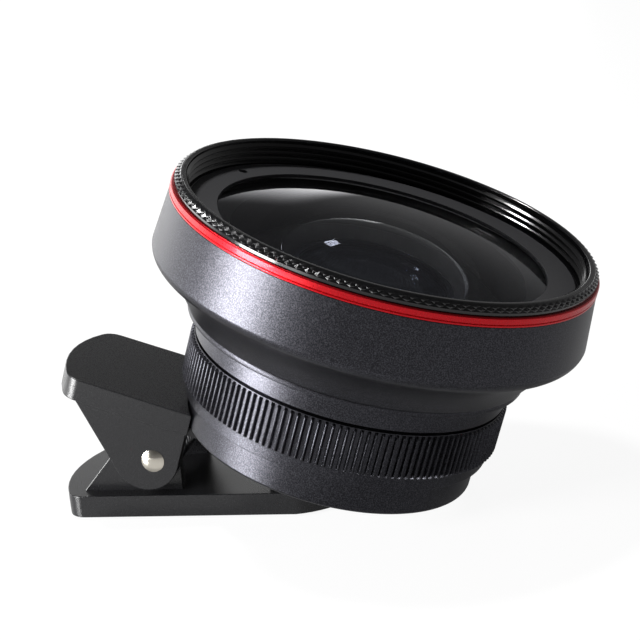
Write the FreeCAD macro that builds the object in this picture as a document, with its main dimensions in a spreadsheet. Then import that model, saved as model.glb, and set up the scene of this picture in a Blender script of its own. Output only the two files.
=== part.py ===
import FreeCAD, Part
import Sketcher
import math
import os
import re

# Clip on phone lens: a wide angle unit on a macro unit, screwed to a spring clip.
# The origin is on the underside of the lower lever, straight below the hinge pin.
# +X runs along the clip towards the lens, +Z is up. Lengths are in millimetres.
# The lens pieces are drawn about their own axis, with height 0 at the face that
# seats on the clip, and are then placed with the tilt of the shut upper lever.

sizes = {
    # Clip: both levers
    "clip_width": 17.3,
    "lever_edge_round": 0.3,
    "tail_arc_radius": 17.0,
    "tail_corner_round": 1.6,
    "jaw_tilt": 20.0,
    "jaw_clearance": 0.09,
    "lobe_offset": 1.0,
    # Upper lever, measured from the lens axis and the lens seat
    "pin_reach": 19.35,
    "pin_drop": 5.4,
    "handle_reach": 34.15,
    "handle_top": 1.95,
    "handle_thickness": 2.8,
    "ring_clearance": 0.25,
    "jaw_plate_radius": 12.5,
    "jaw_plate_thickness": 1.2,
    "jaw_hole_radius": 8.25,
    "upper_cheek_thickness": 1.6,
    "upper_cheek_step": 0.12,
    "cheek_tail_reach": 31.1,
    "cheek_front_reach": 16.2,
    "upper_lobe_radius": 4.15,
    # Lower lever, measured from the pin
    "lower_thickness": 2.8,
    "lower_tail_reach": 13.55,
    "lower_jaw_reach": 24.2,
    "jaw_tip_radius": 8.85,
    "lower_cheek_thickness": 1.5,
    "cheek_side_gap": 0.3,
    "lower_cheek_foot": 11.4,
    "lower_lobe_radius": 3.75,
    # Soft pads
    "pad_recess_depth": 0.4,
    "pad_proud": 0.4,
    "pad_side_gap": 0.05,
    "pad_side_inset": 1.0,
    "pad_tip_inset": 2.1,
    "lower_pad_length": 8.2,
    "upper_pad_inner_radius": 8.9,
    "upper_pad_outer_radius": 11.8,
    # Hinge pin and spring
    "pin_radius": 1.1,
    "pin_clearance": 0.05,
    "pin_head_radius": 1.42,
    "pin_dome_height": 0.4,
    "spring_wire_radius": 0.4,
    "spring_coil_radius": 2.3,
    "spring_pitch": 0.9,
    "spring_turns": 6.0,
    "spring_leg_setback": 5.8,
    "spring_seat_gap": 0.05,
    # Macro housing
    "boss_radius": 8.2,
    "base_ring_radius": 17.9,
    "base_ring_height": 3.9,
    "base_ring_chamfer": 0.3,
    "band_radius": 18.95,
    "band_height": 1.6,
    "grip_core_radius": 19.1,
    "grip_root_radius": 19.35,
    "grip_crest_radius": 19.75,
    "grip_height": 5.8,
    "grip_rib_count": 146,
    "socket_depth": 3.6,
    "socket_floor_radius": 16.2,
    "thread_clearance": 0.05,
    "macro_cell_radius": 7.1,
    "macro_cell_top": 4.8,
    "macro_cell_mouth": 8.4,
    "macro_lip_radius": 6.3,
    "macro_lip_height": 0.6,
    # Macro glass and its ring
    "macro_back_curve": 40.0,
    "macro_front_curve": 14.0,
    "macro_glass_thickness": 5.0,
    "macro_ring_bore": 5.9,
    "macro_ring_top": 4.2,
    # Rear barrel
    "spigot_radius": 17.0,
    "spigot_floor_gap": 0.2,
    "parting_groove_radius": 18.6,
    "parting_groove_height": 0.3,
    "neck_radius": 19.2,
    "neck_height": 2.7,
    "collar_setback": 0.1,
    "collar_height": 0.7,
    "collar_round": 0.25,
    "barrel_thread_radius": 19.0,
    "barrel_thread_height": 2.5,
    "baffle_recess_radius": 17.2,
    "baffle_recess_depth": 0.7,
    "cell_radius": 12.6,
    "cell_lip_radius": 10.6,
    "cell_lip_height": 0.8,
    # Bell housing
    "bell_foot_wall": 1.95,
    "bell_foot_round": 0.3,
    "undercut_setback": 1.1,
    "undercut_height": 4.9,
    "undercut_curve": 14.0,
    "bell_edge_height": 6.4,
    "bell_edge_curve": 2.0,
    "bell_taper": 0.65,
    "bell_wall": 0.65,
    "bell_height": 13.15,
    "bell_web_radius": 17.5,
    "filter_bore_depth": 2.8,
    # Accent ring
    "accent_wall": 0.7,
    "accent_height": 1.2,
    "accent_groove_height": 0.22,
    "accent_groove_width": 0.12,
    "accent_groove_depth": 0.15,
    "seat_clearance": 0.03,
    # Filter ring
    "skirt_wall": 1.75,
    "shoulder_width": 0.35,
    "shoulder_height": 0.42,
    "rim_height": 0.83,
    "rim_core_setback": 0.35,
    "rim_foot_width": 0.42,
    "rim_top_setback": 0.2,
    "rim_land": 0.05,
    "diamond_count": 130,
    "diamond_height": 0.3,
    "lip_chamfer": 0.5,
    "filter_thread_depth": 0.5,
    "filter_thread_length": 2.5,
    # Name ring and front glass
    "name_seat_width": 2.1,
    "name_ring_overlap": 1.2,
    "name_lip_height": 0.2,
    "spanner_hole_radius": 0.6,
    "spanner_hole_depth": 0.6,
    "spanner_hole_inset": 1.9,
    "spanner_hole_angle": 155.0,
    "front_glass_radius": 21.4,
    "front_glass_gap": 0.1,
    "front_curve": 85.0,
    "front_back_curve": 24.0,
    "front_back_radius": 17.0,
    "front_thickness": 2.5,
    # Inner elements
    "inner_glass_radius": 12.55,
    "middle_front_curve": 22.0,
    "middle_back_curve": 60.0,
    "middle_edge": 1.3,
    "spacer_bore": 11.2,
    "spacer_height": 1.4,
    "rear_curve": 45.0,
    "rear_edge": 1.4,
    "rear_ring_bore": 10.9,
    "rear_ring_height": 1.4,
    # Light baffle
    "baffle_bore": 11.4,
    "baffle_inner_height": 0.4,
    "baffle_land": 0.6,
    "baffle_gap": 0.3,
}

doc = FreeCAD.newDocument("ClipOnPhoneLens")
sheet = doc.addObject("Spreadsheet::Sheet", "Sizes")
for row, (name, number) in enumerate(sizes.items(), 1):
    sheet.set(f"A{row}", name)
    sheet.set(f"B{row}", str(number))
    sheet.setAlias(f"B{row}", name)
doc.recompute()


def bound(expression):
    # Turns size names into references to the sheet
    return re.sub(r"[a-z]+(?:_[a-z]+)+", lambda found: "Sizes." + found.group(0), expression)


def value(expression):
    # The number that an expression of sizes gives now
    return float(sheet.evalExpression(bound(expression)))


def sag(curve, reach):
    # Depth of a spherical face of that radius of curvature, out to that reach
    return f"({curve} - sqrt({curve} * {curve} - ({reach}) * ({reach})))"


# Radii of the front end, each worked out from the front glass outwards
glass_bore = "(front_glass_radius + front_glass_gap)"
name_ring_bore = "(front_glass_radius - name_ring_overlap)"
name_bore = f"({glass_bore} + name_seat_width)"
thread_crest = f"({name_bore} + filter_thread_depth)"
lip_radius = f"({thread_crest} + lip_chamfer)"
skirt_radius = f"({name_bore} + skirt_wall)"
shoulder_radius = f"({skirt_radius} + shoulder_width)"
rim_core = f"({skirt_radius} - rim_core_setback)"
filter_bore = f"({skirt_radius} + thread_clearance)"
accent_radius = f"({filter_bore} + accent_wall)"
bell_foot_radius = "(barrel_thread_radius + thread_clearance + bell_foot_wall)"
collar_radius = f"({bell_foot_radius} - collar_setback)"
bell_top_radius = f"({filter_bore} + bell_wall)"
bell_edge_radius = f"({bell_top_radius} + bell_taper)"
undercut_radius = f"({bell_edge_radius} - undercut_setback)"

# Levels along the lens axis, each worked out from the pieces below it
band_bottom = "base_ring_height"
grip_bottom = f"({band_bottom} + band_height)"
grip_top = f"({grip_bottom} + grip_height)"
neck_bottom = f"({grip_top} + parting_groove_height)"
collar_bottom = f"({neck_bottom} + neck_height)"
collar_top = f"({collar_bottom} + collar_height)"
barrel_top = f"({collar_top} + barrel_thread_height)"
bell_top = f"({collar_top} + bell_height)"
filter_ledge = f"({bell_top} - filter_bore_depth)"
rim_underside = f"({bell_top} + accent_height)"
rim_bottom = f"({rim_underside} + shoulder_height)"
rim_top = f"({rim_bottom} + rim_height)"
thread_top = f"({rim_top} - lip_chamfer)"
name_top = f"({thread_top} - filter_thread_length)"
name_lip = f"({name_top} - name_lip_height)"
front_vertex = f"({name_lip} - seat_clearance + {sag('front_curve', name_ring_bore)})"
front_back_vertex = f"({front_vertex} - front_thickness)"
front_bottom = f"({front_back_vertex} - {sag('front_back_curve', 'front_back_radius')})"
glass_ledge = f"({front_bottom} - seat_clearance)"
socket_floor = f"({grip_top} - socket_depth)"
spigot_bottom = f"({socket_floor} + spigot_floor_gap)"
recess_floor = f"({barrel_top} - baffle_recess_depth)"
cell_top = f"({recess_floor} - cell_lip_height)"
middle_vertex = f"({cell_top} - seat_clearance + {sag('middle_front_curve', 'cell_lip_radius')})"
middle_edge_top = f"({middle_vertex} - {sag('middle_front_curve', 'inner_glass_radius')})"
middle_back_vertex = f"({middle_edge_top} - middle_edge - {sag('middle_back_curve', 'inner_glass_radius')})"
spacer_top = f"({middle_back_vertex} + {sag('middle_back_curve', 'spacer_bore')} - seat_clearance)"
spacer_bottom = f"({spacer_top} - spacer_height)"
rear_top = f"({spacer_bottom} - seat_clearance)"
rear_vertex = f"({rear_top} - rear_edge - {sag('rear_curve', 'inner_glass_radius')})"
rear_ring_top = f"({rear_vertex} + {sag('rear_curve', 'rear_ring_bore')} - seat_clearance)"
macro_lip_top = "(macro_lip_height - jaw_plate_thickness)"
macro_back_vertex = f"({macro_lip_top} + seat_clearance - {sag('macro_back_curve', 'macro_lip_radius')})"
macro_front_vertex = f"({macro_back_vertex} + macro_glass_thickness)"
macro_ring_bottom = f"({macro_front_vertex} - {sag('macro_front_curve', 'macro_ring_bore')} + seat_clearance)"

# Height of the pin over the underside of the lower lever, with the pads just apart
upper_pad_lift = "(pin_drop - jaw_plate_thickness - pad_proud)"
lower_pad_reach = "(lower_jaw_reach - pad_tip_inset)"
pin_height = (
    "(lower_thickness + pad_proud + jaw_clearance"
    f" + ({lower_pad_reach} * sin(jaw_tilt) - {upper_pad_lift}) / cos(jaw_tilt))"
)
half_width = "(clip_width / 2)"
upper_cheek_outer = f"({half_width} - upper_cheek_step)"
upper_cheek_inner = f"({upper_cheek_outer} - upper_cheek_thickness)"
lower_cheek_outer = f"({upper_cheek_inner} - cheek_side_gap)"
lower_cheek_inner = f"({lower_cheek_outer} - lower_cheek_thickness)"

tilt = value("jaw_tilt")
pin_centre = FreeCAD.Vector(0, 0, value(pin_height))
tilt_turn = FreeCAD.Rotation(FreeCAD.Vector(0, 1, 0), tilt)
lens_origin = pin_centre - tilt_turn.multVec(FreeCAD.Vector(-value("pin_reach"), 0, -value("pin_drop")))
lens_place = FreeCAD.Placement(lens_origin, tilt_turn)
level_place = FreeCAD.Placement()

parts = {}


def keep(item, label, place):
    # Names a finished sub-part and puts it in the assembly
    item.Label = label
    item.Placement = place
    parts[label] = item
    return item


def new_body(name):
    return doc.addObject("PartDesign::Body", name)


def origin_plane(body, role):
    for feature in body.Origin.OriginFeatures:
        if feature.Role == role:
            return feature
    raise ValueError(role)


def new_sketch(body, name, role, offset="0"):
    sketch = body.newObject("Sketcher::SketchObject", name)
    sketch.AttachmentSupport = (origin_plane(body, role), "")
    sketch.MapMode = "FlatFace"
    sketch.setExpression(".AttachmentOffset.Base.z", bound(offset))
    return sketch


def fix_point(sketch, geometry, end, across, along):
    # Ties one end of an edge to two expressions of sizes
    for kind, expression in (("DistanceX", across), ("DistanceY", along)):
        index = sketch.addConstraint(
            Sketcher.Constraint(kind, -1, 1, geometry, end, value(expression))
        )
        sketch.setExpression(f"Constraints[{index}]", bound(expression))


def add_arc(sketch, centre, start, stop, side):
    # Arc from start to stop round a centre to the left (side 1) or right (side -1) of the way
    first, last = (start, stop) if side > 0 else (stop, start)
    first_angle = math.atan2(first.y - centre.y, first.x - centre.x)
    last_angle = math.atan2(last.y - centre.y, last.x - centre.x)
    circle = Part.Circle(centre, FreeCAD.Vector(0, 0, 1), (start - centre).Length)
    geometry = sketch.addGeometry(Part.ArcOfCircle(circle, first_angle, last_angle))
    return (geometry, 1, 2) if side > 0 else (geometry, 2, 1)


def arc_centre(start, stop, radius, side):
    # Centre of the shorter arc between two points
    chord = stop - start
    half = chord.Length / 2
    normal = FreeCAD.Vector(-chord.y, chord.x, 0).normalize()
    return (start + stop) * 0.5 + normal * side * math.sqrt(max(radius * radius - half * half, 0))


def draw_outline(sketch, corners):
    # Each corner is (across, along) or (across, along, curve, side) for an arc that leaves it
    points = [FreeCAD.Vector(value(corner[0]), value(corner[1]), 0) for corner in corners]
    ends = []
    for index, corner in enumerate(corners):
        start = points[index]
        stop = points[(index + 1) % len(points)]
        if len(corner) == 2:
            ends.append((sketch.addGeometry(Part.LineSegment(start, stop)), 1, 2))
            continue
        centre = arc_centre(start, stop, value(corner[2]), corner[3])
        ends.append(add_arc(sketch, centre, start, stop, corner[3]))
    for index, (geometry, first, last) in enumerate(ends):
        following, following_first, _ = ends[(index + 1) % len(ends)]
        sketch.addConstraint(
            Sketcher.Constraint("Coincident", geometry, last, following, following_first)
        )
    for index, corner in enumerate(corners):
        geometry, first, _ = ends[index]
        fix_point(sketch, geometry, first, corner[0], corner[1])
        if len(corner) == 4:
            constraint = sketch.addConstraint(
                Sketcher.Constraint("Radius", geometry, value(corner[2]))
            )
            sketch.setExpression(f"Constraints[{constraint}]", bound(corner[2]))


def draw_circle(sketch, across, along, radius):
    centre = FreeCAD.Vector(value(across), value(along), 0)
    circle = Part.Circle(centre, FreeCAD.Vector(0, 0, 1), value(radius))
    geometry = sketch.addGeometry(circle)
    fix_point(sketch, geometry, 3, across, along)
    constraint = sketch.addConstraint(Sketcher.Constraint("Radius", geometry, value(radius)))
    sketch.setExpression(f"Constraints[{constraint}]", bound(radius))


def pad(body, name, sketch, length):
    feature = body.newObject("PartDesign::Pad", name)
    feature.Profile = sketch
    feature.setExpression("Length", bound(length))
    doc.recompute()
    return feature


def mirror_across(body, name, original):
    feature = body.newObject("PartDesign::Mirrored", name)
    feature.Originals = [original]
    feature.MirrorPlane = (origin_plane(body, "XZ_Plane"), [""])
    body.Tip = feature
    doc.recompute()
    return feature


def bore(body, name, place, radius, length):
    # A round hole, drawn as a cylinder that starts at the given place
    feature = body.newObject("PartDesign::SubtractiveCylinder", name)
    feature.Placement = place
    feature.setExpression("Radius", bound(radius))
    feature.setExpression("Height", bound(length))
    doc.recompute()
    return feature


def round_over(body, name, base, chosen, radius, kind="PartDesign::Fillet"):
    # Rounds or bevels the edges of the base that the test chooses
    names = []
    for number, edge in enumerate(base.Shape.Edges, 1):
        if chosen(edge):
            names.append(f"Edge{number}")
    feature = body.newObject(kind, name)
    feature.Base = (base, names)
    feature.setExpression("Size" if kind.endswith("Chamfer") else "Radius", bound(radius))
    doc.recompute()
    return feature


def turned(name, corners):
    # A turned piece: its half section, spun about the upright axis
    body = new_body(name)
    sketch = new_sketch(body, name + "_section", "XZ_Plane")
    draw_outline(sketch, corners)
    spin = body.newObject("PartDesign::Revolution", name + "_turning")
    spin.Profile = sketch
    spin.ReferenceAxis = (sketch, ["V_Axis"])
    spin.Angle = 360
    doc.recompute()
    return body


def ring_edge(radius, height):
    # Test for the round edge of a turned piece at that radius and height
    wanted_radius = value(radius)
    wanted_height = value(height)

    def chosen(edge):
        curve = edge.Curve
        if not isinstance(curve, Part.Circle):
            return False
        near = abs(curve.Radius - wanted_radius) < 0.01
        return near and abs(curve.Center.z - wanted_height) < 0.01

    return chosen


def upright_corner(limit):
    # Test for the upright corner edges of a plate that lie beyond that X, on the tail side
    def chosen(edge):
        if not isinstance(edge.Curve, Part.Line):
            return False
        upright = abs(edge.tangentAt(edge.FirstParameter).z) > 0.99
        return upright and edge.CenterOfMass.x < limit

    return chosen


def level_edge(height, limit):
    # Test for the edges that lie wholly at that height, with their middle short of that X
    wanted_height = value(height)
    wanted_limit = value(limit)

    def chosen(edge):
        box = edge.BoundBox
        level = abs(box.ZMin - wanted_height) < 0.01 and abs(box.ZMax - wanted_height) < 0.01
        return level and edge.CenterOfMass.x < wanted_limit

    return chosen


def touch_point(point, centre, radius, side):
    # Where the line from a point touches a circle, on its left (1) or right (-1)
    span = centre - point
    swing = math.asin(radius / span.Length) * side
    length = math.sqrt(span.Length * span.Length - radius * radius)
    aim = math.atan2(span.y, span.x) + swing
    return point + FreeCAD.Vector(math.cos(aim), math.sin(aim), 0) * length


def draw_cheek(sketch, tail, centre, radius, front, tail_side, front_side):
    # Outline of a cheek: two edges that run from its root and touch a round lobe
    tail_point = FreeCAD.Vector(value(tail[0]), value(tail[1]), 0)
    front_point = FreeCAD.Vector(value(front[0]), value(front[1]), 0)
    middle = FreeCAD.Vector(value(centre[0]), value(centre[1]), 0)
    size = value(radius)
    tail_touch = touch_point(tail_point, middle, size, tail_side)
    front_touch = touch_point(front_point, middle, size, front_side)
    tail_line = sketch.addGeometry(Part.LineSegment(tail_point, tail_touch))
    arc, arc_first, arc_last = add_arc(sketch, middle, tail_touch, front_touch, front_side)
    front_line = sketch.addGeometry(Part.LineSegment(front_touch, front_point))
    root_line = sketch.addGeometry(Part.LineSegment(front_point, tail_point))
    sketch.addConstraint(Sketcher.Constraint("Tangent", tail_line, 2, arc, arc_first))
    sketch.addConstraint(Sketcher.Constraint("Tangent", front_line, 1, arc, arc_last))
    sketch.addConstraint(Sketcher.Constraint("Coincident", front_line, 2, root_line, 1))
    sketch.addConstraint(Sketcher.Constraint("Coincident", root_line, 2, tail_line, 1))
    fix_point(sketch, arc, 3, centre[0], centre[1])
    constraint = sketch.addConstraint(Sketcher.Constraint("Radius", arc, size))
    sketch.setExpression(f"Constraints[{constraint}]", bound(radius))
    fix_point(sketch, tail_line, 1, tail[0], tail[1])
    fix_point(sketch, front_line, 2, front[0], front[1])


def side_place(across, height, half_length):
    # Placement of a cylinder that runs along Y, centred on the middle plane
    turn = FreeCAD.Rotation(FreeCAD.Vector(1, 0, 0), -90)
    return FreeCAD.Placement(FreeCAD.Vector(across, -half_length, height), turn)


# Lower lever: flat plate, two inner cheeks, pin bore and the recess for its pad
def make_lower_lever():
    body = new_body("lower_lever_body")
    tail = f"(-lower_tail_reach + {sag('tail_arc_radius', half_width)})"
    tip = f"(lower_jaw_reach - {sag('jaw_tip_radius', half_width)})"
    sketch = new_sketch(body, "lower_plate", "XY_Plane")
    draw_outline(sketch, [
        (tail, f"-{half_width}"),
        (tip, f"-{half_width}", "jaw_tip_radius", 1),
        (tip, half_width),
        (tail, half_width, "tail_arc_radius", 1),
    ])
    plate = pad(body, "lower_plate_pad", sketch, "lower_thickness")
    corners = round_over(body, "lower_tail_corners", plate, upright_corner(0), "tail_corner_round")
    chosen = level_edge("lower_thickness", "lower_jaw_reach")
    round_over(body, "lower_plate_edge", corners, chosen, "lever_edge_round")
    cheek_sketch = new_sketch(body, "lower_cheek", "XZ_Plane", lower_cheek_inner)
    draw_cheek(
        cheek_sketch,
        ("-lower_cheek_foot", "lower_thickness / 2"),
        ("-lobe_offset", pin_height),
        "lower_lobe_radius",
        ("lower_lobe_radius - lobe_offset + 0.001 * lower_thickness", "lower_thickness / 2"),
        1,
        -1,
    )
    cheek = pad(body, "lower_cheek_pad", cheek_sketch, "lower_cheek_thickness")
    mirror_across(body, "lower_cheek_mirror", cheek)
    place = side_place(0, value(pin_height), value(half_width))
    bore(body, "lower_pin_bore", place, "pin_radius", "clip_width")
    recess_sketch = new_sketch(body, "lower_recess", "XY_Plane", "lower_thickness - pad_recess_depth")
    draw_pad_outline(recess_sketch, "0")
    recess = body.newObject("PartDesign::Pocket", "lower_recess_pocket")
    recess.Profile = recess_sketch
    recess.Reversed = True
    recess.setExpression("Length", bound("lower_thickness"))
    doc.recompute()
    return keep(body, "lower_lever", level_place)


def draw_pad_outline(sketch, inset):
    # The lower pad follows the nose of the jaw, set in from its edge
    side = f"({half_width} - pad_side_inset - ({inset}))"
    nose = f"(jaw_tip_radius - pad_side_inset - ({inset}))"
    tip = f"({lower_pad_reach} - ({inset}) - {sag(nose, side)})"
    back = f"({lower_pad_reach} - lower_pad_length + ({inset}))"
    draw_outline(sketch, [
        (back, f"-{side}"),
        (tip, f"-{side}", nose, 1),
        (tip, side),
        (back, side),
    ])


def make_lower_pad():
    body = new_body("lower_pad_body")
    sketch = new_sketch(body, "lower_pad_outline", "XY_Plane", "lower_thickness - pad_recess_depth")
    draw_pad_outline(sketch, "pad_side_gap")
    pad(body, "lower_pad_pad", sketch, "pad_recess_depth + pad_proud")
    return keep(body, "lower_pad", level_place)


# Upper lever: handle plate, round jaw plate under the lens and two outer cheeks
def make_upper_lever():
    body = new_body("upper_lever_body")
    ring_arc = "(base_ring_radius + ring_clearance)"
    front = f"(-sqrt({ring_arc} * {ring_arc} - {half_width} * {half_width}))"
    tail = f"(-handle_reach + {sag('tail_arc_radius', half_width)})"
    handle_sketch = new_sketch(body, "handle", "XY_Plane", "handle_top - handle_thickness")
    draw_outline(handle_sketch, [
        (tail, f"-{half_width}"),
        (front, f"-{half_width}", ring_arc, -1),
        (front, half_width),
        (tail, half_width, "tail_arc_radius", 1),
    ])
    handle = pad(body, "handle_pad", handle_sketch, "handle_thickness")
    limit = value(f"({tail} - handle_reach) / 2 + pin_reach / 2")
    corners = round_over(body, "handle_tail_corners", handle, upright_corner(limit), "tail_corner_round")
    chosen = level_edge("handle_top", f"-{ring_arc}")
    round_over(body, "handle_edge", corners, chosen, "lever_edge_round")
    bar_sketch = new_sketch(body, "jaw_bar", "XY_Plane", "-jaw_plate_thickness")
    bar_root = "(-pin_reach - pin_radius)"
    bar_side = f"({upper_cheek_outer} - upper_cheek_thickness / 2)"
    draw_outline(bar_sketch, [
        (bar_root, f"-{bar_side}"),
        ("0", f"-{bar_side}"),
        ("0", bar_side),
        (bar_root, bar_side),
    ])
    pad(body, "jaw_bar_pad", bar_sketch, "jaw_plate_thickness")
    disc_sketch = new_sketch(body, "jaw_disc", "XY_Plane", "-jaw_plate_thickness")
    draw_circle(disc_sketch, "0", "0", "jaw_plate_radius")
    pad(body, "jaw_disc_pad", disc_sketch, "jaw_plate_thickness")
    cheek_sketch = new_sketch(body, "upper_cheek", "XZ_Plane", upper_cheek_inner)
    root = "(handle_top - 0.75 * handle_thickness)"
    draw_cheek(
        cheek_sketch,
        ("-cheek_tail_reach", root),
        ("-pin_reach - lobe_offset", "-pin_drop"),
        "upper_lobe_radius",
        ("-cheek_front_reach", root),
        -1,
        1,
    )
    cheek = pad(body, "upper_cheek_pad", cheek_sketch, "upper_cheek_thickness")
    mirror_across(body, "upper_cheek_mirror", cheek)
    place = side_place(-value("pin_reach"), -value("pin_drop"), value("clip_width"))
    bore(body, "upper_pin_bore", place, "pin_radius + pin_clearance", "2 * clip_width")
    bore(body, "jaw_hole", seat_place("-2 * jaw_plate_thickness"), "jaw_hole_radius", "4 * jaw_plate_thickness")
    recess_sketch = new_sketch(body, "upper_recess", "XY_Plane", "-jaw_plate_thickness")
    draw_circle(recess_sketch, "0", "0", "upper_pad_outer_radius + pad_side_gap")
    draw_circle(recess_sketch, "0", "0", "upper_pad_inner_radius - pad_side_gap")
    recess = body.newObject("PartDesign::Pocket", "upper_recess_pocket")
    recess.Profile = recess_sketch
    recess.Reversed = True
    recess.setExpression("Length", bound("pad_recess_depth"))
    doc.recompute()
    return keep(body, "upper_lever", lens_place)


def seat_place(height):
    # Placement on the lens axis at that height
    return FreeCAD.Placement(FreeCAD.Vector(0, 0, value(height)), FreeCAD.Rotation())


def make_upper_pad():
    bottom = "(-jaw_plate_thickness - pad_proud)"
    top = "(-jaw_plate_thickness + pad_recess_depth)"
    body = turned("upper_pad_body", [
        ("upper_pad_inner_radius", bottom),
        ("upper_pad_outer_radius", bottom),
        ("upper_pad_outer_radius", top),
        ("upper_pad_inner_radius", top),
    ])
    return keep(body, "upper_pad", lens_place)


def make_hinge_pin():
    head = f"({upper_cheek_outer} + pin_clearance)"
    end = f"({head} + pin_dome_height)"
    dome = "((pin_head_radius * pin_head_radius + pin_dome_height * pin_dome_height) / (2 * pin_dome_height))"
    body = turned("hinge_pin_body", [
        ("0", f"-{end}", dome, 1),
        ("pin_head_radius", f"-{head}"),
        ("pin_radius", f"-{head}"),
        ("pin_radius", head),
        ("pin_head_radius", head, dome, 1),
        ("0", end),
    ])
    turn = FreeCAD.Rotation(FreeCAD.Vector(1, 0, 0), -90)
    return keep(body, "hinge_pin", FreeCAD.Placement(pin_centre, turn))


# Torsion spring: a coil round the pin, one leg along each lever
def make_torsion_spring():
    wire_radius = value("spring_wire_radius")
    coil_radius = value("spring_coil_radius")
    reach = value("handle_reach - pin_reach - spring_leg_setback")
    seat = wire_radius + value("spring_seat_gap")
    lower_end = FreeCAD.Vector(-reach, -(value(pin_height) - value("lower_thickness")) + seat, 0)
    rise = value("pin_drop") + value("handle_top") - value("handle_thickness") - seat
    turn = math.radians(tilt)
    upper_end = FreeCAD.Vector(
        -reach * math.cos(turn) + rise * math.sin(turn),
        rise * math.cos(turn) + reach * math.sin(turn),
        0,
    )
    centre = FreeCAD.Vector(0, 0, 0)
    lower_touch = touch_point(lower_end, centre, coil_radius, -1)
    upper_touch = touch_point(upper_end, centre, coil_radius, 1)
    start_angle = math.atan2(lower_touch.y, lower_touch.x)
    stop_angle = math.atan2(upper_touch.y, upper_touch.x)
    part_turn = ((stop_angle - start_angle) / (2 * math.pi)) % 1
    turns = math.floor(value("spring_turns")) + part_turn
    pitch = value("spring_pitch")
    height = pitch * turns
    helix = Part.makeHelix(pitch, height, coil_radius)
    helix.rotate(centre, FreeCAD.Vector(0, 0, 1), math.degrees(start_angle))
    lift = FreeCAD.Vector(0, 0, height / 2)
    helix.translate(-lift)
    coil = sweep_wire(helix, lower_touch - lift, lower_touch - lower_end, wire_radius)
    pieces = [coil]
    for first, last in ((lower_touch - lift, lower_end - lift), (upper_touch + lift, upper_end + lift)):
        span = last - first
        pieces.append(Part.makeCylinder(wire_radius, span.Length, first, span))
        pieces.append(Part.makeSphere(wire_radius, first))
    spring = doc.addObject("Part::Feature", "torsion_spring_shape")
    spring.Shape = pieces[0].fuse(pieces[1:]).removeSplitter()
    lay = FreeCAD.Rotation(FreeCAD.Vector(1, 0, 0), 90)
    return keep(spring, "torsion_spring", FreeCAD.Placement(pin_centre, lay))


def sweep_wire(path, start, direction, radius):
    # Round wire along a path
    section = Part.Wire([Part.makeCircle(radius, start, direction)])
    return Part.Wire(path.Edges).makePipeShell([section], True, True)


# Macro housing: turned body with a straight knurled grip fused round it
def make_macro_housing():
    core = turned("macro_housing_core", [
        ("macro_lip_radius", "-jaw_plate_thickness"),
        ("boss_radius", "-jaw_plate_thickness"),
        ("boss_radius", "0"),
        ("base_ring_radius - base_ring_chamfer", "0"),
        ("base_ring_radius", "base_ring_chamfer"),
        ("base_ring_radius", band_bottom),
        ("band_radius", band_bottom),
        ("band_radius", grip_bottom),
        ("grip_core_radius", grip_bottom),
        ("grip_core_radius", grip_top),
        ("spigot_radius + thread_clearance", grip_top),
        ("spigot_radius + thread_clearance", socket_floor),
        ("socket_floor_radius", socket_floor),
        ("macro_cell_mouth", "macro_cell_top"),
        ("macro_cell_radius", "macro_cell_top"),
        ("macro_cell_radius", macro_lip_top),
        ("macro_lip_radius", macro_lip_top),
    ])
    knurl = doc.addObject("Part::Feature", "straight_knurl")
    knurl.Shape = straight_knurl(
        value("grip_root_radius"), value("grip_crest_radius"), int(value("grip_rib_count")),
        value(grip_bottom), value(grip_top), value("(spigot_radius + grip_core_radius) / 2"),
    )
    housing = doc.addObject("Part::Fuse", "macro_housing_fuse")
    housing.Base = core
    housing.Tool = knurl
    doc.recompute()
    return keep(housing, "macro_housing", lens_place)


def straight_knurl(root, crest, count, bottom, top, bore_radius):
    # Ring with a saw of ribs round it: a flat land on each crest, a sharp groove between
    points = []
    step = 2 * math.pi / count
    for index in range(count):
        for share, radius in ((0.0, root), (0.3, crest), (0.7, crest)):
            angle = (index + share) * step
            points.append(FreeCAD.Vector(radius * math.cos(angle), radius * math.sin(angle), bottom))
    ring = Part.Face(Part.makePolygon(points + [points[0]])).extrude(FreeCAD.Vector(0, 0, top - bottom))
    hole = Part.makeCylinder(bore_radius, 3 * (top - bottom), FreeCAD.Vector(0, 0, bottom - (top - bottom)))
    return ring.cut(hole)


def make_macro_glass():
    edge_bottom = f"({macro_back_vertex} + {sag('macro_back_curve', 'macro_cell_radius - thread_clearance')})"
    edge_top = f"({macro_front_vertex} - {sag('macro_front_curve', 'macro_cell_radius - thread_clearance')})"
    body = turned("macro_glass_body", [
        ("0", macro_back_vertex, "macro_back_curve", 1),
        ("macro_cell_radius - thread_clearance", edge_bottom),
        ("macro_cell_radius - thread_clearance", edge_top, "macro_front_curve", 1),
        ("0", macro_front_vertex),
    ])
    return keep(body, "macro_glass", lens_place)


def make_ring(name, bore_radius, outer_radius, bottom, top):
    # Plain retaining or spacer ring
    body = turned(name + "_body", [
        (bore_radius, bottom),
        (outer_radius, bottom),
        (outer_radius, top),
        (bore_radius, top),
    ])
    return keep(body, name, lens_place)


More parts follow.
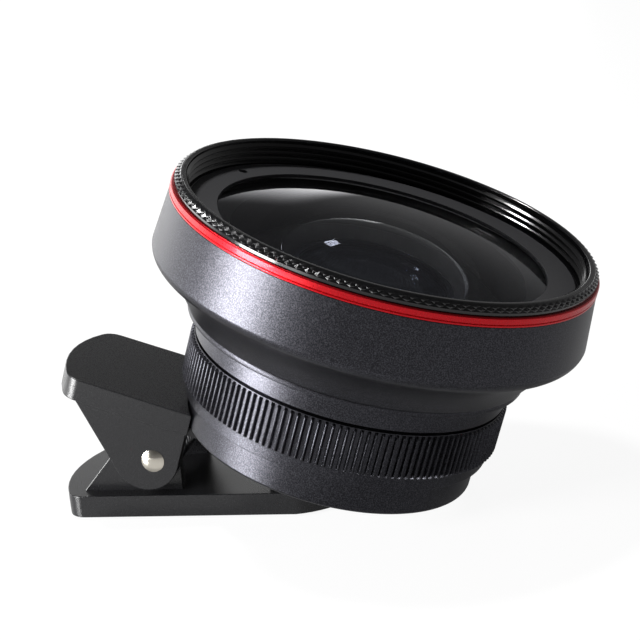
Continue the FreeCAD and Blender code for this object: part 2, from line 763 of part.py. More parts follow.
# Rear barrel: thread spigot, neck, collar and the cell of the inner elements
def make_rear_barrel():
    body = turned("rear_barrel_body", [
        ("cell_radius", spigot_bottom),
        ("spigot_radius", spigot_bottom),
        ("spigot_radius", grip_top),
        ("parting_groove_radius", grip_top),
        ("parting_groove_radius", neck_bottom),
        ("neck_radius", neck_bottom),
        ("neck_radius", collar_bottom),
        (collar_radius, collar_bottom),
        (collar_radius, collar_top),
        ("barrel_thread_radius", collar_top),
        ("barrel_thread_radius", barrel_top),
        ("baffle_recess_radius", barrel_top),
        ("baffle_recess_radius", recess_floor),
        ("cell_lip_radius", recess_floor),
        ("cell_lip_radius", cell_top),
        ("cell_radius", cell_top),
    ])
    chosen_bottom = ring_edge(collar_radius, collar_bottom)
    chosen_top = ring_edge(collar_radius, collar_top)
    round_over(
        body, "collar_edges", body.Tip, lambda edge: chosen_bottom(edge) or chosen_top(edge), "collar_round"
    )
    return keep(body, "rear_barrel", lens_place)


# Bell housing: hollow under-curve, rounded edge and a wall that draws in towards the front
def make_bell_housing():
    body = turned("bell_housing_body", [
        ("barrel_thread_radius + thread_clearance", collar_top),
        (bell_foot_radius, collar_top, "undercut_curve", -1),
        (undercut_radius, f"{collar_top} + undercut_height", "bell_edge_curve", 1),
        (bell_edge_radius, f"{collar_top} + bell_edge_height"),
        (bell_top_radius, bell_top),
        (filter_bore, bell_top),
        (filter_bore, filter_ledge),
        (glass_bore, filter_ledge),
        (glass_bore, glass_ledge),
        ("bell_web_radius", glass_ledge),
        ("bell_web_radius", barrel_top),
        ("barrel_thread_radius + thread_clearance", barrel_top),
    ])
    round_over(body, "bell_foot_edge", body.Tip, ring_edge(bell_foot_radius, collar_top), "bell_foot_round")
    return keep(body, "bell_housing", lens_place)


# Accent ring: sits on the bell, with one fine groove near its foot
def make_accent_ring():
    bottom = f"({bell_top} + seat_clearance)"
    groove = f"({bottom} + accent_groove_height)"
    top = f"({rim_underside} - seat_clearance)"
    body = turned("accent_ring_body", [
        (filter_bore, bottom),
        (accent_radius, bottom),
        (accent_radius, groove),
        (f"{accent_radius} - accent_groove_depth", f"{groove} + accent_groove_width / 2"),
        (accent_radius, f"{groove} + accent_groove_width"),
        (accent_radius, f"{top} - accent_groove_depth"),
        (f"{accent_radius} - accent_groove_depth", top),
        (filter_bore, top),
    ])
    return keep(body, "accent_ring", lens_place)


# Filter ring: skirt in the bell, female filter thread and a diamond knurled rim
def make_filter_ring():
    core = turned("filter_ring_core", [
        (name_bore, f"{filter_ledge} + seat_clearance"),
        (skirt_radius, f"{filter_ledge} + seat_clearance"),
        (skirt_radius, rim_underside),
        (shoulder_radius, rim_underside),
        (shoulder_radius, f"{rim_bottom} + rim_land"),
        (rim_core, f"{rim_bottom} + rim_land"),
        (rim_core, rim_top),
        (lip_radius, rim_top),
        (thread_crest, thread_top),
        (thread_crest, name_top),
        (name_bore, name_top),
    ])
    knurl = doc.addObject("Part::Feature", "diamond_knurl")
    knurl.Shape = diamond_knurl()
    ring = doc.addObject("Part::Fuse", "filter_ring_fuse")
    ring.Base = core
    ring.Tool = knurl
    doc.recompute()
    return keep(ring, "filter_ring", lens_place)


def diamond_knurl():
    # Two rows of raised diamonds, half a pitch apart, between a plain foot and a plain top edge
    count = int(value("diamond_count"))
    bottom = value(rim_bottom)
    top = value(f"{rim_top} - rim_land")
    rise = (top - bottom) / 3
    half_step = math.pi / count
    bump = value("diamond_height")
    foot_radius = value(f"{skirt_radius} + rim_foot_width")
    head_radius = value(f"{skirt_radius} - rim_top_setback")

    def point(column, level, raised=False):
        radius = foot_radius + (head_radius - foot_radius) * level / 3 + (bump if raised else 0)
        angle = column * half_step
        return FreeCAD.Vector(radius * math.cos(angle), radius * math.sin(angle), bottom + level * rise)

    triangles = []
    for column in range(0, 2 * count, 2):
        for level, middle in ((1, column), (2, column + 1)):
            peak = point(middle, level, True)
            around = [
                point(middle + 1, level), point(middle, level + 1),
                point(middle - 1, level), point(middle, level - 1),
            ]
            for index in range(4):
                triangles.append((peak, around[index], around[(index + 1) % 4]))
        triangles.append((point(column, 0), point(column + 2, 0), point(column + 1, 1)))
        triangles.append((point(column + 1, 3), point(column + 2, 2), point(column + 3, 3)))
    faces = []
    for corners in triangles:
        faces.append(Part.Face(Part.makePolygon([corners[0], corners[1], corners[2], corners[0]])))
    foot = [point(column, 0) for column in range(0, 2 * count, 2)]
    head = [point(column + 1, 3) for column in range(0, 2 * count, 2)]
    for loop in (foot, head):
        faces.append(Part.Face(Part.makePolygon(loop + [loop[0]])))
    solid = Part.makeSolid(Part.makeShell(faces))
    if solid.Volume < 0:
        solid.reverse()
    bore_radius = value(f"({rim_core} + {lip_radius}) / 2")
    hole = Part.makeCylinder(bore_radius, 3 * (top - bottom), FreeCAD.Vector(0, 0, bottom - (top - bottom)))
    return solid.cut(hole)


# Name ring: satin ring that clamps the front glass, with two blind spanner holes
def make_name_ring():
    outer_foot = f"({front_vertex} - {sag('front_curve', 'front_glass_radius')} + seat_clearance)"
    body = turned("name_ring_body", [
        (name_ring_bore, name_top),
        (name_ring_bore, name_lip),
        (f"{glass_bore} - thread_clearance", outer_foot),
        (f"{glass_bore} - thread_clearance", f"{filter_ledge} + seat_clearance"),
        (f"{name_bore} - thread_clearance", f"{filter_ledge} + seat_clearance"),
        (f"{name_bore} - thread_clearance", name_top),
    ])
    reach = value(f"{name_ring_bore} + spanner_hole_inset")
    for index in range(2):
        angle = math.radians(value("spanner_hole_angle") + 180 * index)
        spot = FreeCAD.Vector(
            reach * math.cos(angle), reach * math.sin(angle), value(f"{name_top} - spanner_hole_depth")
        )
        place = FreeCAD.Placement(spot, FreeCAD.Rotation())
        bore(body, f"spanner_hole_{index + 1}", place, "spanner_hole_radius", "2 * spanner_hole_depth")
    return keep(body, "name_ring", lens_place)


def make_front_glass():
    edge_top = f"({front_vertex} - {sag('front_curve', 'front_glass_radius')})"
    body = turned("front_glass_body", [
        ("0", front_back_vertex, "front_back_curve", -1),
        ("front_back_radius", front_bottom),
        ("front_glass_radius", front_bottom),
        ("front_glass_radius", edge_top, "front_curve", 1),
        ("0", front_vertex),
    ])
    return keep(body, "front_glass", lens_place)


def make_light_baffle():
    floor = f"({recess_floor} + seat_clearance)"
    outer = "(baffle_recess_radius - thread_clearance)"
    top = f"({glass_ledge} - baffle_gap)"
    body = turned("light_baffle_body", [
        ("baffle_bore", floor),
        (outer, floor),
        (outer, top),
        (f"{outer} - baffle_land", top),
        ("baffle_bore", f"{floor} + baffle_inner_height"),
    ])
    return keep(body, "light_baffle", lens_place)


def make_middle_glass():
    body = turned("middle_glass_body", [
        ("0", middle_back_vertex, "middle_back_curve", 1),
        ("inner_glass_radius", f"{middle_edge_top} - middle_edge"),
        ("inner_glass_radius", middle_edge_top, "middle_front_curve", 1),
        ("0", middle_vertex),
    ])
    return keep(body, "middle_glass", lens_place)


def make_rear_glass():
    body = turned("rear_glass_body", [
        ("0", rear_vertex, "rear_curve", 1),
        ("inner_glass_radius", f"{rear_top} - rear_edge"),
        ("inner_glass_radius", rear_top),
        ("0", rear_top),
    ])
    return keep(body, "rear_glass", lens_place)


make_lower_lever()
make_lower_pad()
make_upper_lever()
make_upper_pad()
make_hinge_pin()
make_torsion_spring()
make_macro_housing()
make_macro_glass()
make_ring(
    "macro_retaining_ring", "macro_ring_bore", "macro_cell_radius - thread_clearance",
    macro_ring_bottom, "macro_ring_top",
)
make_rear_barrel()
make_bell_housing()
make_accent_ring()
make_filter_ring()
make_name_ring()
make_front_glass()
make_light_baffle()
make_middle_glass()
make_ring("spacer_ring", "spacer_bore", "inner_glass_radius", spacer_bottom, spacer_top)
make_rear_glass()
make_ring(
    "rear_retaining_ring", "rear_ring_bore", "inner_glass_radius",
    f"{rear_ring_top} - rear_ring_height", rear_ring_top,
)
doc.recompute()

for item in doc.Objects:
    if "Invalid" in item.State or "Error" in item.State:
        raise RuntimeError(f"{item.Label} failed: {item.State}")
for label, item in parts.items():
    shape = item.Shape
    if shape.isNull() or not shape.isValid() or not shape.Solids:
        raise RuntimeError(f"{label} has no valid solid")

os.makedirs("parts", exist_ok=True)
for label, item in parts.items():
    item.Shape.exportStep(f"parts/{label}.step")
    print(f"{label}: {len(item.Shape.Solids)} solid, volume {item.Shape.Volume:.1f}")
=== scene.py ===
import bpy
import bmesh
import math
from mathutils import Matrix, Vector


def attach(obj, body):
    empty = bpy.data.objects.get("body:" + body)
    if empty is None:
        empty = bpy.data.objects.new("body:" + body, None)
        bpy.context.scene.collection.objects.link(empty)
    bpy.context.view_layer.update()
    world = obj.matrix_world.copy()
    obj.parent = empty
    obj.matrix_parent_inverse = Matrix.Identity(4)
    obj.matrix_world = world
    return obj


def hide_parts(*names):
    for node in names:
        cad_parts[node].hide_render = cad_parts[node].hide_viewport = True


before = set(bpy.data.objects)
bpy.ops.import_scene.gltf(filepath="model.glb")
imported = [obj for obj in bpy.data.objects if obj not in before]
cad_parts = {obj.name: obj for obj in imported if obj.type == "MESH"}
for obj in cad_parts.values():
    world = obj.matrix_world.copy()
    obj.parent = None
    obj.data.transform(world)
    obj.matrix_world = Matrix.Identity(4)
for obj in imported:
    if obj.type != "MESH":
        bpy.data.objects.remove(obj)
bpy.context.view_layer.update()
print("frame loaded:", len(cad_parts), "nodes")

# The object's sizes are in millimetres and become metres when a piece is finished
mm = 0.001

# Where the lens stands: its seat on the upper jaw, its tilt, and the hinge pin's height
lensSeat = {"x": 20.030, "z": 5.7461, "tilt": 20.0}
pinHeight = 7.2899
lensPlace = (
    Matrix.Translation((lensSeat["x"], 0, lensSeat["z"]))
    @ Matrix.Rotation(math.radians(lensSeat["tilt"]), 4, "Y")
)
levelPlace = Matrix.Identity(4)

# Steps round a large turned shape, a small one and a cheek's lobe, and how near two points are
# when they become one
roundSteps = 192
smallSteps = 96
lobeSteps = 48
mergeGap = 0.0005


# Materials

def hexColour(text):
    # sRGB hex to the linear colour that the shader wants
    channels = [int(text[i:i + 2], 16) / 255 for i in (1, 3, 5)]
    linear = [c / 12.92 if c <= 0.04045 else ((c + 0.055) / 1.055) ** 2.4 for c in channels]
    return (*linear, 1.0)


def addNode(tree, kind, settings=None, values=None, links=None):
    # One node with its settings, its socket values and what feeds its sockets
    node = tree.nodes.new(kind)
    for key, setting in (settings or {}).items():
        setattr(node, key, setting)
    for key, number in (values or {}).items():
        node.inputs[key].default_value = number
    for key, source in (links or {}).items():
        tree.links.new(source, node.inputs[key])
    return node


def newMaterial(name, colour, shader):
    # A Principled material and what a pattern needs to reach its sockets
    material = bpy.data.materials.new(name)
    material.use_nodes = True
    tree = material.node_tree
    surface = tree.nodes["Principled BSDF"]
    surface.inputs["Base Color"].default_value = hexColour(colour)
    for key, number in shader.items():
        surface.inputs[key].default_value = number
    material.diffuse_color = hexColour(colour)
    return material, tree, surface


def addGrain(tree, surface, grainMm, noise, rough, bump):
    # A grain of the stated size, in millimetres, varies the roughness and dents the surface
    scale = 1 / (grainMm * mm)
    place = addNode(tree, "ShaderNodeTexCoord")
    scaled = addNode(
        tree, "ShaderNodeMapping", values={"Scale": (scale, scale, scale)},
        links={"Vector": place.outputs["Object"]},
    )
    grain = addNode(
        tree, "ShaderNodeTexNoise", values={"Scale": 1.0, **noise},
        links={"Vector": scaled.outputs["Vector"]},
    ).outputs["Fac"]
    roughness = addNode(tree, "ShaderNodeMapRange", values=rough, links={"Value": grain})
    tree.links.new(roughness.outputs["Result"], surface.inputs["Roughness"])
    dents = addNode(tree, "ShaderNodeBump", values=bump, links={"Height": grain})
    tree.links.new(dents.outputs["Normal"], surface.inputs["Normal"])
    return grain


# Each kind of grain: its noise, the roughness either side of the finish's own, and its depth
blastGrain = {
    "noise": {"Detail": 2.0, "Roughness": 0.6}, "from": 0.3, "to": 0.7,
    "smoother": 0.05, "rougher": 0.06, "tintFrom": 0.42, "tintTo": 0.75,
}
mouldGrain = {
    "noise": {"Detail": 3.0, "Roughness": 0.55}, "smoother": 0.06, "rougher": 0.08,
    "depthMm": 0.02, "ior": 1.54,
}
latheGrain = {"noise": {"Detail": 2.0}, "smoother": 0.8, "rougher": 1.25, "depthMm": 0.01}


def blastedAnodised(name, values):
    # Aluminium blasted with fine grit and anodised black: a dark satin skin of pits and facets
    roughness = values["roughness"]
    material, tree, surface = newMaterial(name, values["colour"], {
        "Metallic": values["metallic"], "Roughness": roughness,
    })
    grain = addGrain(
        tree, surface, values["gritMm"], blastGrain["noise"],
        {
            "From Min": blastGrain["from"], "From Max": blastGrain["to"],
            "To Min": roughness - blastGrain["smoother"],
            "To Max": roughness + blastGrain["rougher"],
        },
        {"Strength": values["bump"], "Distance": values["pitMm"] * mm},
    )
    tint = addNode(tree, "ShaderNodeValToRGB", links={"Fac": grain})
    for index, position, colour in ((0, "tintFrom", "colour"), (1, "tintTo", "facet")):
        tint.color_ramp.elements[index].position = blastGrain[position]
        tint.color_ramp.elements[index].color = hexColour(values[colour])
    tree.links.new(tint.outputs["Color"], surface.inputs["Base Color"])
    return material


def mouldedPlastic(name, values):
    # Plastic or rubber from a spark eroded mould: near black, a fine orange peel, a waxy sheen
    roughness = values["roughness"]
    material, tree, surface = newMaterial(name, values["colour"], {
        "Roughness": roughness, "IOR": mouldGrain["ior"], "Specular IOR Level": values["specular"],
    })
    addGrain(
        tree, surface, values["grainMm"], mouldGrain["noise"],
        {
            "To Min": roughness - mouldGrain["smoother"],
            "To Max": roughness + mouldGrain["rougher"],
        },
        {"Strength": values["bump"], "Distance": mouldGrain["depthMm"] * mm},
    )
    return material


def turnedMetal(name, values):
    # Metal cut on a lathe or drawn: smooth, with fine tool marks that break up its highlights
    roughness = values["roughness"]
    material, tree, surface = newMaterial(name, values["colour"], {
        "Metallic": values["metallic"], "Roughness": roughness,
        "Coat Weight": values["coat"], "Coat Roughness": values["coatRoughness"],
    })
    addGrain(
        tree, surface, values["markMm"], latheGrain["noise"],
        {
            "To Min": roughness * latheGrain["smoother"],
            "To Max": roughness * latheGrain["rougher"],
        },
        {"Strength": values["bump"], "Distance": latheGrain["depthMm"] * mm},
    )
    return material


def opticalGlass(name, values):
    # Polished optical glass: clear, with a multilayer coating that tints what it mirrors
    return newMaterial(name, values["colour"], {
        "Roughness": values["roughness"], "IOR": values["ior"], "Transmission Weight": 1.0,
        "Specular IOR Level": values["specular"],
        "Specular Tint": hexColour(values["coating"]),
    })[0]


finishes = {
    "abs": {
        "colour": "#151517", "roughness": 0.27, "specular": 0.5, "grainMm": 0.10, "bump": 0.25,
    },
    "rubber": {
        "colour": "#161617", "roughness": 0.75, "specular": 0.3, "grainMm": 0.20, "bump": 0.5,
    },
    "blasted": {
        "colour": "#303034", "facet": "#56565c", "metallic": 1.0, "roughness": 0.36,
        "gritMm": 0.14, "pitMm": 0.02, "bump": 0.35,
    },
    "gloss": {
        "colour": "#0e0e10", "metallic": 0.3, "roughness": 0.16, "coat": 0.5,
        "coatRoughness": 0.06, "markMm": 0.3, "bump": 0.05,
    },
    "red": {
        "colour": "#c2101c", "metallic": 0.85, "roughness": 0.28, "coat": 0.2,
        "coatRoughness": 0.1, "markMm": 0.3, "bump": 0.05,
    },
    "satin": {
        "colour": "#363638", "metallic": 0.0, "roughness": 0.5, "coat": 0.0,
        "coatRoughness": 0.3, "markMm": 0.15, "bump": 0.15,
    },
    "inner": {
        "colour": "#0b0b0c", "metallic": 0.0, "roughness": 0.6, "coat": 0.0,
        "coatRoughness": 0.3, "markMm": 0.25, "bump": 0.2,
    },
    "nickel": {
        "colour": "#d8d2c6", "metallic": 1.0, "roughness": 0.16, "coat": 0.0,
        "coatRoughness": 0.1, "markMm": 0.2, "bump": 0.1,
    },
    "steel": {
        "colour": "#b4b4b8", "metallic": 1.0, "roughness": 0.24, "coat": 0.0,
        "coatRoughness": 0.1, "markMm": 0.15, "bump": 0.15,
    },
    "glass": {
        "colour": "#d9dcdf", "coating": "#dfe2ff", "roughness": 0.0, "ior": 1.52, "specular": 0.4,
    },
}
blackAbs = mouldedPlastic("blackAbs", finishes["abs"])
padRubber = mouldedPlastic("padRubber", finishes["rubber"])
blastedBlack = blastedAnodised("blastedBlackAluminium", finishes["blasted"])
glossBlack = turnedMetal("glossBlackAluminium", finishes["gloss"])
redAnodised = turnedMetal("redAnodisedAluminium", finishes["red"])
satinBlack = turnedMetal("satinBlackAluminium", finishes["satin"])
innerBlack = turnedMetal("blackenedInnerParts", finishes["inner"])
polishedNickel = turnedMetal("polishedNickel", finishes["nickel"])
springWire = turnedMetal("springSteelWire", finishes["steel"])
coatedGlass = opticalGlass("coatedOpticalGlass", finishes["glass"])
print("materials made")


# Shape helpers

def addObject(name, data):
    added = bpy.data.objects.new(name, data)
    bpy.context.scene.collection.objects.link(added)
    return added


def mergePoints(shape, gap=mergeGap):
    bmesh.ops.remove_doubles(shape, verts=shape.verts[:], dist=gap)


def finishPiece(
    shape, name, body, place, material, nodes=(), creaseAngle=32, turnOut=True
):
    # Turns a bmesh in millimetres into a piece in metres that rides on its body
    mergePoints(shape)
    if turnOut:
        bmesh.ops.recalc_face_normals(shape, faces=shape.faces[:])
    bmesh.ops.transform(shape, matrix=Matrix.Scale(mm, 4) @ place, verts=shape.verts[:])
    crease = math.radians(creaseAngle)
    for face in shape.faces:
        face.smooth = True
    for edge in shape.edges:
        edge.smooth = len(edge.link_faces) == 2 and edge.calc_face_angle(0) < crease
    mesh = bpy.data.meshes.new(name)
    shape.to_mesh(mesh)
    shape.free()
    mesh.materials.append(material)
    piece = addObject(name, mesh)
    # Broad faces keep their own normals, so that only the small rounds at their edges shade softly
    normals = piece.modifiers.new("faceNormals", "WEIGHTED_NORMAL")
    normals.weight, normals.keep_sharp = 100, True
    if nodes:
        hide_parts(*nodes)
    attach(piece, body)


def arcOn(shape, start, stop, curve, side, steps=14):
    # Spins a point about a centre to draw an arc of the section, its centre left (1) or right (-1)
    first = Vector((start.co.x, start.co.z))
    last = Vector(stop)
    chord = last - first
    half = chord.length / 2
    normal = Vector((-chord.y, chord.x)).normalized() * side
    centre = (first + last) / 2 + normal * math.sqrt(max(curve ** 2 - half ** 2, 0))
    angle = 2 * math.asin(min(half / curve, 1)) * side
    made = bmesh.ops.spin(
        shape, geom=[start], cent=(centre.x, 0, centre.y), axis=(0, -1, 0),
        angle=angle, steps=steps, use_duplicate=False,
    )
    return [item for item in made["geom_last"] if isinstance(item, bmesh.types.BMVert)][0]


def turnedShape(corners, steps=roundSteps, closed=True):
    # Turns a half section of (radius, height) corners, or of (radius, height, curve, side)
    # where an arc starts. An open section starts and ends on the axis.
    shape = bmesh.new()
    last = shape.verts.new((corners[0][0], 0, corners[0][1]))
    pairs = zip(corners, corners[1:] + corners[:1]) if closed else zip(corners, corners[1:])
    for corner, following in pairs:
        if len(corner) == 4:
            last = arcOn(shape, last, following[:2], corner[2], corner[3])
        else:
            vertex = shape.verts.new((following[0], 0, following[1]))
            shape.edges.new((last, vertex))
            last = vertex
    mergePoints(shape)
    bmesh.ops.spin(
        shape, geom=shape.verts[:] + shape.edges[:], cent=(0, 0, 0), axis=(0, 0, 1),
        angle=2 * math.pi, steps=steps, use_merge=True, use_duplicate=False,
    )
    mergePoints(shape)
    return shape


def repeatRound(shape, count):
    # Copies a shape round the axis until there are so many of it
    bmesh.ops.spin(
        shape, geom=shape.verts[:] + shape.edges[:] + shape.faces[:], cent=(0, 0, 0),
        axis=(0, 0, 1), angle=2 * math.pi * (count - 1) / count, steps=count - 1,
        use_duplicate=True,
    )


def windUp(shape, turns, rise, steps):
    # Sweeps an outline round the axis while it climbs, as a thread or a coil does
    bmesh.ops.spin(
        shape, geom=shape.verts[:] + shape.edges[:], cent=(0, 0, 0), axis=(0, 0, 1),
        dvec=(0, 0, rise / steps), angle=2 * math.pi * turns, steps=steps, use_duplicate=False,
    )


def sharpEdges(shape, angle):
    # Edges whose two faces turn by more than the angle, in degrees
    limit = math.radians(angle)
    return [
        edge for edge in shape.edges
        if len(edge.link_faces) == 2 and edge.calc_face_angle(0) > limit
    ]


def roundEdges(shape, edges, width, segments, clamp=True):
    bmesh.ops.bevel(
        shape, geom=edges, offset=width, offset_type="OFFSET", segments=segments, profile=0.5,
        affect="EDGES", material=-1, clamp_overlap=clamp,
    )
    return shape


def softenEdges(shape, width, segments=3, angle=40):
    # Rounds every sharp edge
    return roundEdges(shape, sharpEdges(shape, angle), width, segments)


def softenRings(shape, width, segments=2, angle=25):
    # Rounds the sharp edges that run round a turned shape, and none that climb
    level = [
        edge for edge in sharpEdges(shape, angle)
        if abs(edge.verts[0].co.z - edge.verts[1].co.z) < 1e-4
    ]
    return roundEdges(shape, level, width, segments)


def prismShape(outline, low, high):
    # Extrudes a flat outline of (x, y) points between two levels
    shape = bmesh.new()
    face = shape.faces.new([shape.verts.new((x, y, low)) for x, y in outline])
    raised = bmesh.ops.extrude_face_region(shape, geom=[face])
    moved = [item for item in raised["geom"] if isinstance(item, bmesh.types.BMVert)]
    bmesh.ops.translate(shape, vec=(0, 0, high - low), verts=moved)
    bmesh.ops.recalc_face_normals(shape, faces=shape.faces[:])
    return shape


def joinShape(target, extra):
    # Adds a second bmesh to the first
    holder = bpy.data.meshes.new("joining")
    extra.to_mesh(holder)
    extra.free()
    target.from_mesh(holder)
    bpy.data.meshes.remove(holder)


def arcPoints(centre, radius, start, stop, count):
    # Points along an arc, angles in degrees
    points = []
    for index in range(count + 1):
        angle = math.radians(start + (stop - start) * index / count)
        points.append((
            centre[0] + radius * math.cos(angle), centre[1] + radius * math.sin(angle),
        ))
    return points


def arcSpread(halfWidth, radius):
    # How far an arc turns, in degrees, from the middle to the half width
    return math.degrees(math.asin(halfWidth / radius))


# Lenses: two domed faces and a ground edge. Heights are those of the domes' tops and rims.

lensSizes = {
    "macroGlass": {
        "radius": 7.05, "rearTop": -1.0692, "rearRim": -0.4431, "rearCurve": 40.0,
        "frontTop": 3.9308, "frontRim": 2.0261, "frontCurve": 14.0,
    },
    "middleGlass": {
        "radius": 12.55, "rearTop": 12.1341, "rearRim": 13.4613, "rearCurve": 60.0,
        "frontTop": 18.692, "frontRim": 14.7613, "frontCurve": 22.0,
    },
}


def lensShape(lens):
    return turnedShape([
        (0.0, lens["rearTop"], lens["rearCurve"], 1), (lens["radius"], lens["rearRim"]),
        (lens["radius"], lens["frontRim"], lens["frontCurve"], 1), (0.0, lens["frontTop"]),
    ], closed=False)


# Macro unit: base ring, band and a straight knurled grip

macro = {
    "bossRadius": 8.2, "bossEnd": -1.2, "bossBore": 6.3, "bossFloor": -0.6, "baseRadius": 17.9,
    "baseRound": 0.3, "baseHeight": 3.9, "bandRadius": 18.95, "socket": 17.05, "socketFloor": 7.7,
    "coneMouth": 16.2, "coneEnd": 8.4, "coneFloor": 4.8, "cell": 7.1, "edge": 0.12,
    "gripFrom": 5.5, "gripTo": 11.3, "gripRoot": 19.35, "gripCrest": 19.75, "ribCount": 146,
    "ribSunk": 0.2, "ribFoot": 0.36, "ribCrest": 0.08, "ribGap": 0.02, "ribEnd": 0.3,
    "ribEdge": 0.05,
}
macroBody = turnedShape([
    (macro["bossBore"], macro["bossEnd"]), (macro["bossRadius"], macro["bossEnd"]),
    (macro["bossRadius"], 0.0), (macro["baseRadius"] - macro["baseRound"], 0.0),
    (macro["baseRadius"], macro["baseRound"]), (macro["baseRadius"], macro["baseHeight"]),
    (macro["bandRadius"], macro["baseHeight"]), (macro["bandRadius"], macro["gripFrom"]),
    (macro["gripRoot"], macro["gripFrom"]), (macro["gripRoot"], macro["gripTo"]),
    (macro["socket"], macro["gripTo"]), (macro["socket"], macro["socketFloor"]),
    (macro["coneMouth"], macro["socketFloor"]), (macro["coneEnd"], macro["coneFloor"]),
    (macro["cell"], macro["coneFloor"]), (macro["cell"], macro["bossFloor"]),
    (macro["bossBore"], macro["bossFloor"]),
])
softenRings(macroBody, macro["edge"])
ribPitch = math.pi * 2 * macro["gripRoot"] / macro["ribCount"]
ribSunk = macro["gripRoot"] - macro["ribSunk"]
rib = prismShape(
    [
        (ribSunk, -ribPitch * macro["ribFoot"]),
        (macro["gripCrest"], -ribPitch * macro["ribCrest"]),
        (macro["gripCrest"], ribPitch * macro["ribCrest"]),
        (ribSunk, ribPitch * macro["ribFoot"]),
    ],
    macro["gripFrom"] + macro["ribGap"], macro["gripTo"] - macro["ribGap"],
)
gripMiddle = (macro["gripFrom"] + macro["gripTo"]) / 2
for vertex in rib.verts:
    # The crest is cut back at both ends, so that each rib runs out on a slope
    if vertex.co.x > macro["gripRoot"]:
        vertex.co.z -= macro["ribEnd"] * (1 if vertex.co.z > gripMiddle else -1)
softenEdges(rib, macro["ribEdge"], segments=1, angle=20)
repeatRound(rib, macro["ribCount"])
joinShape(macroBody, rib)
finishPiece(
    macroBody, "macroHousing", "macro_unit", lensPlace, blastedBlack,
    ["macro_housing"],
)
finishPiece(
    lensShape(lensSizes["macroGlass"]), "macroGlass", "macro_unit", lensPlace, coatedGlass,
    ["macro_glass"],
)
macroRing = {"bore": 5.9, "radius": 7.05, "from": 2.6568, "to": 4.2, "edge": 0.08}
macroRingBody = turnedShape([
    (macroRing["bore"], macroRing["from"]), (macroRing["radius"], macroRing["from"]),
    (macroRing["radius"], macroRing["to"]), (macroRing["bore"], macroRing["to"]),
])
finishPiece(
    softenRings(macroRingBody, macroRing["edge"]), "macroRetainingRing", "macro_unit", lensPlace,
    innerBlack, ["macro_retaining_ring"],
)
print("macro unit made")


# Wide angle unit: the neck with its thread and collar

barrel = {
    "cell": 12.6, "from": 7.9, "thread": 17.0, "threadTo": 11.3, "foot": 18.6, "footTo": 11.6,
    "neck": 19.35, "neckTop": 19.1, "neckTo": 14.3, "collar": 20.9, "collarTo": 15.0,
    "spigot": 19.0, "to": 17.5, "seat": 17.2, "seatFloor": 16.8, "stop": 10.6, "stopUnder": 16.0,
    "edge": 0.15,
}
barrelBody = turnedShape([
    (barrel["cell"], barrel["from"]), (barrel["thread"], barrel["from"]),
    (barrel["thread"], barrel["threadTo"]), (barrel["foot"], barrel["threadTo"]),
    (barrel["foot"], barrel["footTo"]), (barrel["neck"], barrel["footTo"]),
    (barrel["neckTop"], barrel["neckTo"]), (barrel["collar"], barrel["neckTo"]),
    (barrel["collar"], barrel["collarTo"]), (barrel["spigot"], barrel["collarTo"]),
    (barrel["spigot"], barrel["to"]), (barrel["seat"], barrel["to"]),
    (barrel["seat"], barrel["seatFloor"]), (barrel["stop"], barrel["seatFloor"]),
    (barrel["stop"], barrel["stopUnder"]), (barrel["cell"], barrel["stopUnder"]),
])
finishPiece(
    softenRings(barrelBody, barrel["edge"]), "rearBarrel", "wide_unit", lensPlace, blastedBlack,
    ["rear_barrel"],
)

# The bell: it flares out of its foot in a hollow curve and turns in again at the undercut
bell = {
    "bore": 19.05, "foot": 21.0, "flareCurve": 14.0, "undercut": 25.6, "undercutTo": 19.9,
    "undercutCurve": 2.0, "belly": 26.7, "bellyFrom": 21.4, "top": 26.05, "from": 15.0,
    "to": 28.15, "mouth": 25.4, "ledge": 25.35, "cell": 21.5, "webTop": 20.2162, "web": 17.5,
    "webUnder": 17.5, "edge": 0.12,
}
bellBody = turnedShape([
    (bell["bore"], bell["from"]), (bell["foot"], bell["from"], bell["flareCurve"], -1),
    (bell["undercut"], bell["undercutTo"], bell["undercutCurve"], 1),
    (bell["belly"], bell["bellyFrom"]), (bell["top"], bell["to"]), (bell["mouth"], bell["to"]),
    (bell["mouth"], bell["ledge"]), (bell["cell"], bell["ledge"]), (bell["cell"], bell["webTop"]),
    (bell["web"], bell["webTop"]), (bell["web"], bell["webUnder"]),
    (bell["bore"], bell["webUnder"]),
])
finishPiece(
    softenRings(bellBody, bell["edge"]), "bellHousing", "wide_unit", lensPlace, blastedBlack,
    ["bell_housing"],
)

# The red ring, with a fine groove near its foot
accent = {
    "bore": 25.4, "radius": 26.1, "from": 28.18, "to": 29.32, "groove": 28.40,
    "grooveWidth": 0.12, "grooveDepth": 0.15, "topRound": 0.15, "edge": 0.03,
}
accentBody = turnedShape([
    (accent["bore"], accent["from"]), (accent["radius"], accent["from"]),
    (accent["radius"], accent["groove"]),
    (accent["radius"] - accent["grooveDepth"], accent["groove"] + accent["grooveWidth"] / 2),
    (accent["radius"], accent["groove"] + accent["grooveWidth"]),
    (accent["radius"], accent["to"] - accent["topRound"]),
    (accent["radius"] - accent["topRound"], accent["to"]), (accent["bore"], accent["to"]),
])
finishPiece(
    softenRings(accentBody, accent["edge"]), "accentRing", "wide_unit", lensPlace, redAnodised,
    ["accent_ring"],
)

